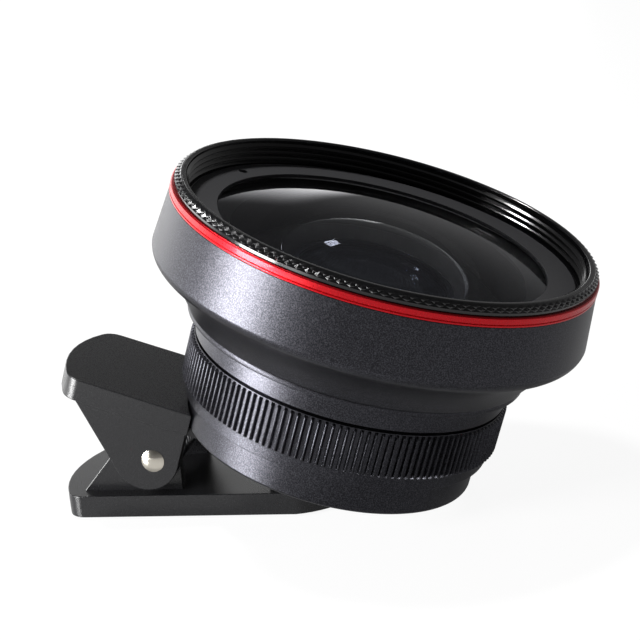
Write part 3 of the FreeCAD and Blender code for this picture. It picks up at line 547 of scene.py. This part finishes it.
# The front ring: a core behind the knurl, and the bore that the filter thread is cut in
rim = {
    "seat": 23.6, "skirt": 25.35, "skirtFrom": 25.38, "from": 29.35, "shoulder": 25.7,
    "top": 30.6, "lip": 24.6, "lipRound": 0.1, "bore": 24.5, "footInset": 0.5, "footGap": 0.02,
    "headInset": 0.1, "headGap": 0.05, "edge": 0.04,
    "knurlFrom": 29.77, "knurlTo": 30.55, "foot": 25.77, "head": 25.15, "diamonds": 130,
    "diamondRise": 0.25, "diamondEdge": 0.03, "tuckedIn": 0.45, "mergeGap": 0.002,
    "crest": 24.1, "threadFrom": 27.6, "threadTo": 30.2, "threadPitch": 0.75,
    "toothSides": (0.44, 0.56), "threadSunk": 0.01, "threadSteps": 160, "threadGap": 0.02,
}
rimBody = turnedShape([
    (rim["seat"], rim["skirtFrom"]), (rim["skirt"], rim["skirtFrom"]),
    (rim["skirt"], rim["from"]), (rim["shoulder"], rim["from"]),
    (rim["shoulder"], rim["knurlFrom"]),
    (rim["foot"] - rim["footInset"], rim["knurlFrom"] + rim["footGap"]),
    (rim["head"] - rim["headInset"], rim["knurlTo"] - rim["headGap"]),
    (rim["head"] - rim["headInset"], rim["top"]), (rim["lip"], rim["top"]),
    (rim["bore"], rim["top"] - rim["lipRound"]), (rim["bore"], rim["threadFrom"]),
    (rim["seat"], rim["threadFrom"]),
])
softenRings(rimBody, rim["edge"])


def diamondPoint(column, level, raised=0.0):
    # A point of the knurl: half pitches round the rim, thirds of its height up
    rise = level / 3
    radius = rim["foot"] + (rim["head"] - rim["foot"]) * rise + raised
    angle = math.pi * column / rim["diamonds"]
    height = rim["knurlFrom"] + (rim["knurlTo"] - rim["knurlFrom"]) * rise
    return (radius * math.cos(angle), radius * math.sin(angle), height)


# Knurl: one pitch has a diamond of each row and the strips above and below them
knurl = bmesh.new()
corners = {
    (column, level): knurl.verts.new(diamondPoint(column, level))
    for column, level in ((0, 0), (2, 0), (-1, 1), (1, 1), (0, 2), (2, 2), (1, 3), (3, 3))
}
for column, level in ((0, 1), (1, 2)):
    peak = knurl.verts.new(diamondPoint(column, level, rim["diamondRise"]))
    around = [
        corners[(column + 1, level)], corners[(column, level + 1)],
        corners[(column - 1, level)], corners[(column, level - 1)],
    ]
    for index in range(4):
        knurl.faces.new((peak, around[index], around[(index + 1) % 4]))
knurl.faces.new((corners[(0, 0)], corners[(2, 0)], corners[(1, 1)]))
knurl.faces.new((corners[(1, 3)], corners[(2, 2)], corners[(3, 3)]))
for first, second, level in ((0, 2, 0), (1, 3, 3)):
    # The foot and the head turn inwards, into the ring
    inner = [
        knurl.verts.new(diamondPoint(column, level, -rim["tuckedIn"]))
        for column in (second, first)
    ]
    knurl.faces.new((corners[(first, level)], corners[(second, level)], *inner))
repeatRound(knurl, rim["diamonds"])
mergePoints(knurl, rim["mergeGap"])
softenEdges(knurl, rim["diamondEdge"], segments=1, angle=30)
joinShape(rimBody, knurl)

# Filter thread: a comb of teeth wound up the bore by one pitch, trimmed at both ends
thread = bmesh.new()
threadWall = rim["bore"] - rim["threadSunk"]
combPoints = []
teeth = math.ceil((rim["threadTo"] - rim["threadFrom"]) / rim["threadPitch"]) + 1
for index in range(teeth):
    low = rim["threadFrom"] - rim["threadPitch"] + index * rim["threadPitch"]
    combPoints.append(thread.verts.new((threadWall, 0, low)))
    for share in rim["toothSides"]:
        combPoints.append(thread.verts.new((rim["crest"], 0, low + share * rim["threadPitch"])))
combTop = rim["threadFrom"] + (teeth - 1) * rim["threadPitch"]
combPoints.append(thread.verts.new((threadWall, 0, combTop)))
for lower, upper in zip(combPoints, combPoints[1:]):
    thread.edges.new((lower, upper))
windUp(thread, 1, rim["threadPitch"], rim["threadSteps"])
mergePoints(thread, rim["mergeGap"])
for level, up in ((rim["threadFrom"] + rim["threadGap"], -1), (rim["threadTo"], 1)):
    bmesh.ops.bisect_plane(
        thread, geom=thread.verts[:] + thread.edges[:] + thread.faces[:],
        plane_co=(0, 0, level), plane_no=(0, 0, up), clear_outer=True,
    )
bmesh.ops.recalc_face_normals(thread, faces=thread.faces[:])
threadSide = thread.faces[0]
if threadSide.normal.dot(threadSide.calc_center_median() * Vector((1, 1, 0))) > 0:
    # It is an open surface, so it may have come out facing away from the axis
    bmesh.ops.reverse_faces(thread, faces=thread.faces[:])
finishPiece(
    rimBody, "filterRing", "wide_unit", lensPlace, glossBlack,
    ["filter_ring"], creaseAngle=22,
)
finishPiece(
    thread, "filterThread", "wide_unit", lensPlace, glossBlack, turnOut=False
)

# Front glass, a meniscus, and the two glasses' black paint. A face is painted where its normal
# is square to the axis, or where it looks straight back outside the hollow.
frontLens = {
    "radius": 21.4, "hollow": 17.0, "hollowTop": 27.3051, "hollowCurve": 24.0, "foot": 20.2462,
    "rim": 27.0671, "top": 29.8051, "domeCurve": 85.0,
}
paint = {"square": 0.02, "straightBack": -0.999, "outside": 17}


def blackenEdge(name):
    # The ground edge of a lens and the flat ring round its hollow are painted black
    mesh = bpy.data.objects[name].data
    mesh.materials.append(innerBlack)
    toLens = (Matrix.Scale(mm, 4) @ lensPlace).inverted()
    axis = lensPlace.to_3x3() @ Vector((0, 0, 1))
    for face in mesh.polygons:
        facing = face.normal.dot(axis)
        outside = (toLens @ face.center).xy.length > paint["outside"]
        if abs(facing) < paint["square"] or facing < paint["straightBack"] and outside:
            face.material_index = 1


frontGlass = turnedShape([
    (0.0, frontLens["hollowTop"], frontLens["hollowCurve"], -1),
    (frontLens["hollow"], frontLens["foot"]), (frontLens["radius"], frontLens["foot"]),
    (frontLens["radius"], frontLens["rim"], frontLens["domeCurve"], 1), (0.0, frontLens["top"]),
], closed=False)
finishPiece(
    frontGlass, "frontGlass", "wide_unit", lensPlace, coatedGlass, ["front_glass"]
)
blackenEdge("frontGlass")

# The cone behind the front glass that keeps stray light off the inner glass
baffle = {
    "bore": 11.4, "radius": 17.15, "lip": 16.55, "from": 16.83, "to": 19.9162, "coneFoot": 17.23,
    "edge": 0.05,
}
baffleBody = turnedShape([
    (baffle["bore"], baffle["from"]), (baffle["radius"], baffle["from"]),
    (baffle["radius"], baffle["to"]), (baffle["lip"], baffle["to"]),
    (baffle["bore"], baffle["coneFoot"]),
])
finishPiece(
    softenRings(baffleBody, baffle["edge"]), "lightBaffle", "wide_unit", lensPlace, innerBlack,
    ["light_baffle"],
)
finishPiece(
    lensShape(lensSizes["middleGlass"]), "middleGlass", "wide_unit", lensPlace, coatedGlass,
    ["middle_glass"],
)
blackenEdge("middleGlass")

# CAD nodes that stay as they are and get their material here
cadFinishes = {
    "name_ring": satinBlack, "spacer_ring": innerBlack, "rear_glass": coatedGlass,
    "rear_retaining_ring": innerBlack,
}
for node, material in cadFinishes.items():
    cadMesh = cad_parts[node].data
    cadMesh.materials.clear()
    cadMesh.materials.append(material)
print("wide angle unit made")


# Levers: a plate and two cheeks each

def plateShape(front, sizes, low, high):
    # A lever's plate: its front outline, one arc at its tail, round tail corners, soft edges
    spread = arcSpread(sizes["halfWidth"], sizes["tailCurve"])
    tail = arcPoints(
        (sizes["tail"] + sizes["tailCurve"], 0), sizes["tailCurve"],
        180 - spread, 180 + spread, sizes["tailSteps"],
    )
    plate = prismShape(front + tail, low, high)
    tailCorners = [
        edge for edge in plate.edges
        if abs(edge.verts[0].co.z - edge.verts[1].co.z) > 1  # upright
        and edge.verts[0].co.x < sizes["cornersBefore"]
        and abs(abs(edge.verts[0].co.y) - sizes["halfWidth"]) < 0.01
    ]
    roundEdges(plate, tailCorners, sizes["cornerRound"], segments=5, clamp=False)
    return softenEdges(plate, sizes["edge"])


def addCheeks(lever, sizes):
    # A flat cheek on each side: its root and its round lobe wrapped by a tight outline
    for side in (-1, 1):
        cheek = bmesh.new()
        for level in (side * sizes["cheekInner"], side * sizes["cheekOuter"]):
            bmesh.ops.create_circle(
                cheek, segments=lobeSteps, radius=sizes["lobe"],
                matrix=Matrix.Translation((sizes["lobeX"], level, sizes["lobeZ"]))
                @ Matrix.Rotation(math.radians(90), 4, "X"),
            )
            cheek.verts.new((sizes["cheekTail"], level, sizes["cheekRoot"]))
            cheek.verts.new((sizes["cheekFront"], level, sizes["cheekRoot"]))
        wrapped = bmesh.ops.convex_hull(cheek, input=cheek.verts[:], use_existing_faces=False)
        loose = [item for item in wrapped["geom_interior"] if isinstance(item, bmesh.types.BMVert)]
        bmesh.ops.delete(cheek, geom=loose, context="VERTS")
        bmesh.ops.dissolve_limit(
            cheek, angle_limit=math.radians(1), verts=cheek.verts[:], edges=cheek.edges[:]
        )
        joinShape(lever, softenEdges(cheek, sizes["cheekEdge"]))


# Upper lever: handle, jaw ring, the bar between them and the outer cheeks
upper = {
    "halfWidth": 8.65, "top": 1.95, "under": -0.85, "front": 18.15, "frontSteps": 14,
    "tail": -34.15, "tailCurve": 17.0, "tailSteps": 10, "cornersBefore": -31, "cornerRound": 1.3,
    "edge": 0.16, "jaw": 12.5, "hole": 8.25, "plate": -1.2, "jawEdge": 0.15,
    "barRoot": -20.45, "barFront": -9.2, "barWidth": 7.73, "barTop": -0.02, "barEdge": 0.1,
    "cheekInner": 6.93, "cheekOuter": 8.53, "cheekTail": -31.1, "cheekFront": -16.2,
    "cheekRoot": -0.15, "cheekEdge": 0.12, "lobe": 4.15, "lobeX": -20.35, "lobeZ": -5.4,
}
frontSpread = arcSpread(upper["halfWidth"], upper["front"])
upperLever = plateShape(
    arcPoints(
        (0, 0), upper["front"], 180 + frontSpread, 180 - frontSpread, upper["frontSteps"]
    ),
    upper, upper["under"], upper["top"],
)
jawRing = turnedShape([
    (upper["hole"], upper["plate"]), (upper["jaw"], upper["plate"]), (upper["jaw"], 0.0),
    (upper["hole"], 0.0),
], steps=smallSteps)
joinShape(upperLever, softenRings(jawRing, upper["jawEdge"]))
bar = prismShape([
    (upper["barRoot"], -upper["barWidth"]), (upper["barFront"], -upper["barWidth"]),
    (upper["barFront"], upper["barWidth"]), (upper["barRoot"], upper["barWidth"]),
], upper["plate"], upper["barTop"])
joinShape(upperLever, softenEdges(bar, upper["barEdge"], segments=2))
addCheeks(upperLever, upper)
finishPiece(
    upperLever, "upperLever", "upper_clip", lensPlace, blackAbs, ["upper_lever"]
)
upperPad = {"bore": 8.9, "radius": 11.8, "from": -1.6, "to": -0.8, "edge": 0.15}
upperPadBody = turnedShape([
    (upperPad["bore"], upperPad["from"]), (upperPad["radius"], upperPad["from"]),
    (upperPad["radius"], upperPad["to"]), (upperPad["bore"], upperPad["to"]),
], steps=smallSteps)
finishPiece(
    softenRings(upperPadBody, upperPad["edge"]), "upperPad", "upper_clip", lensPlace, padRubber,
    ["upper_pad"],
)

# Lower lever: plate, inner cheeks and its pad
lower = {
    "halfWidth": 8.65, "thickness": 2.8, "tip": 24.2, "tipCurve": 8.85, "tipSteps": 24,
    "tail": -13.55, "tailCurve": 17.0, "tailSteps": 10, "cornersBefore": -10, "cornerRound": 1.3,
    "edge": 0.12, "cheekInner": 5.13, "cheekOuter": 6.63, "cheekTail": -11.4,
    "cheekFront": 2.75, "cheekRoot": 1.2, "cheekEdge": 0.12, "lobe": 3.75, "lobeX": -1.0,
    "lobeZ": pinHeight,
}
tipSpread = arcSpread(lower["halfWidth"], lower["tipCurve"])
lowerLever = plateShape(
    arcPoints(
        (lower["tip"] - lower["tipCurve"], 0), lower["tipCurve"], -tipSpread, tipSpread,
        lower["tipSteps"],
    ),
    lower, 0.0, lower["thickness"],
)
addCheeks(lowerLever, lower)
finishPiece(
    lowerLever, "lowerLever", "lower_clip", levelPlace, blackAbs, ["lower_lever"]
)
lowerPad = {
    "nose": 7.8, "noseSteps": 24, "side": 7.6, "tip": 22.1, "back": 13.95, "from": 2.4,
    "to": 3.2, "edge": 0.15,
}
noseSpread = arcSpread(lowerPad["side"], lowerPad["nose"])
lowerPadOutline = arcPoints(
    (lowerPad["tip"] - lowerPad["nose"], 0), lowerPad["nose"], -noseSpread, noseSpread,
    lowerPad["noseSteps"],
)
lowerPadOutline += [(lowerPad["back"], lowerPad["side"]), (lowerPad["back"], -lowerPad["side"])]
lowerPadBody = prismShape(lowerPadOutline, lowerPad["from"], lowerPad["to"])
finishPiece(
    softenEdges(lowerPadBody, lowerPad["edge"], segments=2), "lowerPad", "lower_clip",
    levelPlace, padRubber, ["lower_pad"],
)

# Hinge pin: a rivet with two domed heads, turned upright and laid across the clip
pin = {"head": 1.42, "headFrom": 8.58, "end": 8.98, "dome": 2.72, "shaft": 1.1, "steps": 64}
pinBody = turnedShape([
    (0.0, -pin["end"], pin["dome"], 1), (pin["head"], -pin["headFrom"]),
    (pin["shaft"], -pin["headFrom"]), (pin["shaft"], pin["headFrom"]),
    (pin["head"], pin["headFrom"], pin["dome"], 1), (0.0, pin["end"]),
], steps=pin["steps"], closed=False)
pinPlace = Matrix.Translation((0, 0, pinHeight)) @ Matrix.Rotation(math.radians(-90), 4, "X")
finishPiece(
    pinBody, "hingePin", "lower_clip", pinPlace, polishedNickel, ["hinge_pin"]
)

# Torsion spring: a coil round the pin. Its upper leg rides on the upper lever and turns with it.
# The turns and the two angles are those at which both legs lie on their levers.
spring = {
    "wire": 0.4, "coil": 2.3, "pitch": 0.9, "turns": 6.3771, "start": -78.077, "stop": 57.689,
    "lowerEnd": (-8.0, -4.0399), "upperEnd": (-6.1153, 6.5889), "legRound": 0.12,
    "legSides": 16, "coilSides": 14, "stepsPerTurn": 28, "mergeGap": 0.001, "creaseAngle": 50,
}
halfCoil = spring["pitch"] * spring["turns"] / 2
springPlace = Matrix.Translation((0, 0, pinHeight)) @ Matrix.Rotation(math.radians(90), 4, "X")


def springLeg(angle, end, level):
    # A straight leg from where the coil stops to its end
    turn = math.radians(angle)
    root = Vector((spring["coil"] * math.cos(turn), spring["coil"] * math.sin(turn), level))
    span = Vector((end[0], end[1], level)) - root
    leg = bmesh.new()
    bmesh.ops.create_cone(
        leg, cap_ends=True, segments=spring["legSides"], radius1=spring["wire"],
        radius2=spring["wire"], depth=span.length,
        matrix=Matrix.Translation(root + span / 2)
        @ span.to_track_quat("Z", "Y").to_matrix().to_4x4(),
    )
    return softenEdges(leg, spring["legRound"], segments=2)


coil = bmesh.new()
bmesh.ops.create_circle(
    coil, cap_ends=False, segments=spring["coilSides"], radius=spring["wire"],
    matrix=Matrix.Rotation(math.radians(spring["start"]), 4, "Z")
    @ Matrix.Translation((spring["coil"], 0, -halfCoil))
    @ Matrix.Rotation(math.radians(90), 4, "X"),
)
windUp(coil, spring["turns"], 2 * halfCoil, round(spring["turns"] * spring["stepsPerTurn"]))
mergePoints(coil, spring["mergeGap"])
bmesh.ops.holes_fill(coil, edges=[edge for edge in coil.edges if edge.is_boundary], sides=0)
joinShape(coil, springLeg(spring["start"], spring["lowerEnd"], -halfCoil))
finishPiece(
    coil, "torsionSpring", "lower_clip", springPlace, springWire,
    ["torsion_spring"], creaseAngle=spring["creaseAngle"],
)
finishPiece(
    springLeg(spring["stop"], spring["upperEnd"], halfCoil), "springUpperLeg", "upper_clip",
    springPlace, springWire, creaseAngle=spring["creaseAngle"],
)
print("clip made")


# Floor, room, lamps and camera, in metres

floor = {
    "height": -0.0003, "size": 2.0, "colour": "#e8e8e8", "roughness": 0.18,
    # Its own tone, and for reflections a painted darker tone, a faint painted glow and a painted
    # bright patch that the part mirrors
    "tone": 0.8, "mirrorPaintedShade": 0.42, "mirrorPaintedGlow": 0.16,
    "paintedGlowPlace": (-0.19, -0.135, 0.0), "paintedGlowFrom": 0.05, "paintedGlowTo": 0.16, "paintedGlowPeak": 8.0,
    # How much of it is plain white to the camera, and how bright that white is
    "whiteShare": 0.86, "whiteLevel": 1.07,
}
white = (1, 1, 1, 1)
floorMesh = bpy.data.meshes.new("floor")
floorShape = bmesh.new()
bmesh.ops.create_grid(
    floorShape, x_segments=1, y_segments=1, size=floor["size"],
    matrix=Matrix.Translation((0, 0, floor["height"])),
)
floorShape.to_mesh(floorMesh)
floorShape.free()
addObject("floor", floorMesh)

# A smooth white floor. The camera sees it nearly white, with a faint shadow. In reflections it
# is painted darker, and a painted glow, bright in a patch under the key lamp, stands in for
# lamplight.
floorMaterial, tree, surface = newMaterial(
    "paleFloor", floor["colour"], {"Roughness": floor["roughness"]}
)
floorRays = addNode(tree, "ShaderNodeLightPath")
mirrored = floorRays.outputs["Is Glossy Ray"]
# The floor's colour: its own tone for the camera and for the light it throws back, and a darker
# painted shade where the part mirrors it
tone = addNode(
    tree, "ShaderNodeMapRange", values={"To Min": floor["tone"], "To Max": floor["mirrorPaintedShade"]},
    links={"Value": mirrored},
)
tree.links.new(tone.outputs["Result"], surface.inputs["Base Color"])
# A painted glow that only reflections see: bright in a patch under the key lamp, faint further out
floorPlace = addNode(tree, "ShaderNodeTexCoord")
away = addNode(
    tree, "ShaderNodeVectorMath", {"operation": "DISTANCE"}, {1: floor["paintedGlowPlace"]},
    {0: floorPlace.outputs["Object"]},
)
paintedGlowPatch = addNode(
    tree, "ShaderNodeMapRange", {"interpolation_type": "SMOOTHSTEP"},
    {
        "From Min": floor["paintedGlowFrom"], "From Max": floor["paintedGlowTo"],
        "To Min": floor["paintedGlowPeak"], "To Max": floor["mirrorPaintedGlow"],
    },
    {"Value": away.outputs["Value"]},
)
paintedGlowStrength = addNode(
    tree, "ShaderNodeMath", {"operation": "MULTIPLY"},
    links={0: paintedGlowPatch.outputs["Result"], 1: mirrored},
)
paintedGlow = addNode(
    tree, "ShaderNodeEmission", values={"Color": white},
    links={"Strength": paintedGlowStrength.outputs["Value"]},
)
# The floor's lit surface with the painted glow added
floorAndPaintedGlow = addNode(
    tree, "ShaderNodeAddShader", links={0: surface.outputs["BSDF"], 1: paintedGlow.outputs["Emission"]}
)
whiteFloor = addNode(
    tree, "ShaderNodeEmission", values={"Color": white, "Strength": floor["whiteLevel"]}
)
seen = addNode(
    tree, "ShaderNodeMath", {"operation": "MAXIMUM"},
    links={
        0: floorRays.outputs["Is Camera Ray"], 1: floorRays.outputs["Is Transmission Ray"],
    },
)
share = addNode(
    tree, "ShaderNodeMath", {"operation": "MULTIPLY"}, {1: floor["whiteShare"]},
    {0: seen.outputs["Value"]},
)
mixedFloor = addNode(tree, "ShaderNodeMixShader", links={
    0: share.outputs["Value"], 1: floorAndPaintedGlow.outputs["Shader"], 2: whiteFloor.outputs["Emission"],
})
tree.links.new(mixedFloor.outputs["Shader"], tree.nodes["Material Output"].inputs["Surface"])
floorMesh.materials.append(floorMaterial)

# The room is dim, with a white panel low behind the part and a white wall on its left. Each
# light fades along an axis: from and to where, and its level before and after.
room = {
    "sky": ("Z", 0.1, 0.5, 0.2, 0.085),
    "panel": ("X", -0.14, -0.09, 2.0, 0.0),
    "wall": ("X", -0.95, -0.35, 1.6, 0.0),
    "low": ("Z", 0.12, 0.40, 1.0, 0.0),
    "behind": ("Y", -0.2, 0.2, 0.0, 1.0),
}
world = bpy.data.worlds.new("studioWorld")
bpy.context.scene.world = world
world.use_nodes = True
tree = world.node_tree
backdrop = tree.nodes["Background"]
backdrop.inputs["Color"].default_value = white
way = addNode(tree, "ShaderNodeTexCoord")
wayParts = addNode(tree, "ShaderNodeSeparateXYZ", links={0: way.outputs["Generated"]})
fades = {}
for name, (axis, fadeFrom, fadeTo, before, after) in room.items():
    fades[name] = addNode(
        tree, "ShaderNodeMapRange", {"interpolation_type": "SMOOTHSTEP"},
        {"From Min": fadeFrom, "From Max": fadeTo, "To Min": before, "To Max": after},
        {"Value": wayParts.outputs[axis]},
    ).outputs["Result"]
roomLevel = fades["panel"]
for operation, name in (
    ("ADD", "wall"), ("MULTIPLY", "low"), ("MULTIPLY", "behind"), ("ADD", "sky"),
):
    roomLevel = addNode(
        tree, "ShaderNodeMath", {"operation": operation}, links={0: roomLevel, 1: fades[name]}
    ).outputs["Value"]
tree.links.new(roomLevel, backdrop.inputs["Strength"])
roomRays = addNode(tree, "ShaderNodeLightPath")
whiteRoom = addNode(tree, "ShaderNodeBackground", values={"Color": white, "Strength": 1.0})
mixedRoom = addNode(tree, "ShaderNodeMixShader", links={
    0: roomRays.outputs["Is Camera Ray"], 1: backdrop.outputs["Background"],
    2: whiteRoom.outputs["Background"],
})
tree.links.new(mixedRoom.outputs["Shader"], tree.nodes["World Output"].inputs["Surface"])

# Two soft boxes that face the lens
lampAim = (0.020, 0.0, 0.022)
lamps = {
    "keyBox": {"place": (-0.269, -0.195, 0.085), "size": (0.14, 0.16), "power": 2.7},
    "topBox": {"place": (-0.10, 0.10, 0.50), "size": (0.07, 0.07), "power": 2.0},
}
for name, sizes in lamps.items():
    lamp = bpy.data.lights.new(name, "AREA")
    lamp.shape = "RECTANGLE"
    lamp.size, lamp.size_y = sizes["size"]
    lamp.energy = sizes["power"]
    box = addObject(name, lamp)
    box.location = sizes["place"]
    facing = Vector(lampAim) - Vector(sizes["place"])
    box.rotation_euler = facing.to_track_quat("-Z", "Y").to_euler()

# The camera, from the fit to the photograph: its place in millimetres and its turn in degrees
photoCamera = {
    "place": (80.260, -237.899, 97.640), "turn": (72.711, 6.0687, 12.1795), "lens": 119.2,
    "sensor": 36.0, "clipStart": 0.01,
}
cameraData = bpy.data.cameras.new("photoCamera")
cameraData.sensor_width = photoCamera["sensor"]
cameraData.lens = photoCamera["lens"]
cameraData.clip_start = photoCamera["clipStart"]
camera = addObject("photoCamera", cameraData)
camera.location = [number * mm for number in photoCamera["place"]]
camera.rotation_euler = [math.radians(number) for number in photoCamera["turn"]]
bpy.context.scene.camera = camera
bpy.context.scene.view_settings.view_transform = "Standard"
print("studio made")
